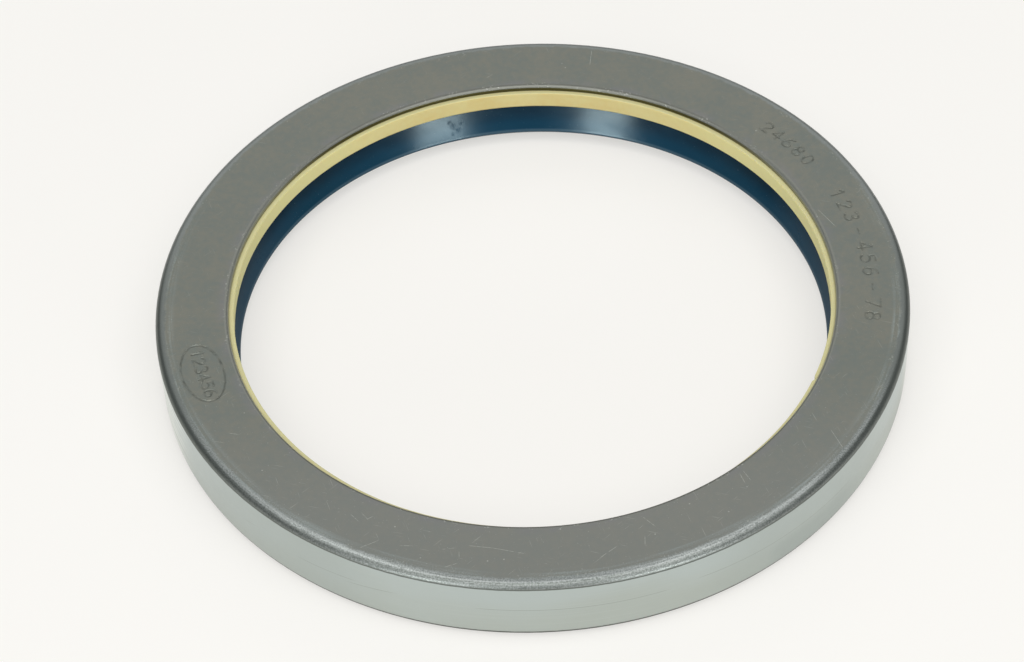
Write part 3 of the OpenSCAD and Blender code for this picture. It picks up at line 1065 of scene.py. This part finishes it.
# Painted light: the lower part of the cone is a lighter blue.
navy_colour = navy.mixed(navy.z.between(7.2, 4.6) * 0.7, navy_colour, NAVY_LOW_LIT)
navy_colour = navy.mixed(dust * 0.3, navy_colour, DUST_AND_SHEEN)
navy.feed("Base Color", navy.mixed(lip_edge_wear_and_sheen * 0.35, navy_colour, DUST_AND_SHEEN))
smudge = any_of(smudged(navy, *spot) for spot in SMUDGES) * (
    navy.noise(0.45, 3.0).between(0.38, 0.66) * 0.1 + 0.05)
flank_haze = navy.sideways().between(0.88, 1.0) * 0.16
navy.feed("Roughness", 0.19 + smears * 0.06 + dust * 0.2 + smudge + flank_haze)
navy.bump(navy.noise(2.6, 2.0) * 0.6 + navy.noise(0.25, 1.0) * 0.1, RUBBER_RELIEF)
piece("sealing_lip", rubber_grid, navy)

# %% [markdown]
# ## The insert
#
# The steel ring inside is nearly hidden: only the bare end of its leg shows from the oil side. It
# has the same kind of outline, and a plain pressed finish with a little staining.

# %% Insert
insert_in_r, insert_r, insert_low_z, insert_z = sizes["insert"]
SHEET_IN = 1.0
INSERT_STEPS = 360
STAIN_RELIEF = 0.01

insert_outline = outline([
    (insert_in_r, insert_z - SHEET_IN, 0, 2.0),
    (insert_in_r, insert_z, 0, 4.0),
    (insert_r, insert_z, 1.2, 3.0),
    (insert_r, insert_low_z, 0.7, 1.0),
    (insert_r - SHEET_IN, insert_low_z, 0.15, 2.0),
    (insert_r - SHEET_IN, insert_z - SHEET_IN, 0.2, 4.0),
])
plain = Finish("plain_steel", {"Metallic": 1.0})
stain = (plain.noise(3.0, 3.0) * 0.7 + plain.noise(0.4, 2.0, (0.05, 0.05, 1.0)) * 0.4).between(0.4, 0.8)
plain.feed("Base Color", plain.mixed(stain, tone(170, 172, 168), tone(128, 128, 120)))
plain.feed("Roughness", 0.36 + stain * 0.2)
plain.bump(stain, STAIN_RELIEF)
piece("insert", revolved(insert_outline, all_round(INSERT_STEPS)), plain)

# %% [markdown]
# ## The garter spring
#
# A garter spring is a long close-wound coil whose ends are joined. Its wire is one closed curve: a
# point runs once round the ring while it circles the coil's centre line hundreds of times. The
# wire's skin is a small circle carried along that curve, and since the whole number of turns fits
# the ring, the curve meets itself and the grid closes both ways.

# %% Garter spring
WIRE_R = 0.215
WIRE_GAP = 0.015
TURN_STEPS = 12
WIRE_SIDES = 5
coil_r = (spring_out_r - spring_in_r) / 2 - WIRE_R
turns = round(2 * math.pi * spring_r / (2 * WIRE_R + WIRE_GAP))


def spring_skin(turns):
    """Ring angle a and coil angle b = turns x a. The wire's centre is at the radius R + c cos b and
    the height c sin b, and its skin is the wire's radius away in two directions across it."""
    a = all_round(turns * TURN_STEPS)[:, None]
    b = turns * a
    zero = np.zeros_like(a)
    round_ring = np.stack([np.cos(a), np.sin(a), zero], -1)
    up = np.array([0, 0, 1.0])
    out = np.cos(b)[..., None] * round_ring + np.sin(b)[..., None] * up
    centre = spring_r * round_ring + coil_r * out + spring_z * up
    onward = np.roll(centre, -1, 0) - np.roll(centre, 1, 0)
    across = np.cross(onward / np.linalg.norm(onward, axis=-1, keepdims=True), out)
    c = all_round(WIRE_SIDES)[:, None]
    return centre + WIRE_R * (np.cos(c) * out + np.sin(c) * across)


wire = Finish("spring_wire", {"Metallic": 1.0})
oil_film = wire.noise(2.0, 3.0).between(0.4, 0.75)
wire.feed("Base Color", wire.mixed(oil_film, tone(214, 214, 210), tone(176, 174, 164)))
wire.feed("Roughness", 0.2 + oil_film * 0.14)
piece("garter_spring", spring_skin(turns), wire)
print(turns, "turns of wire")
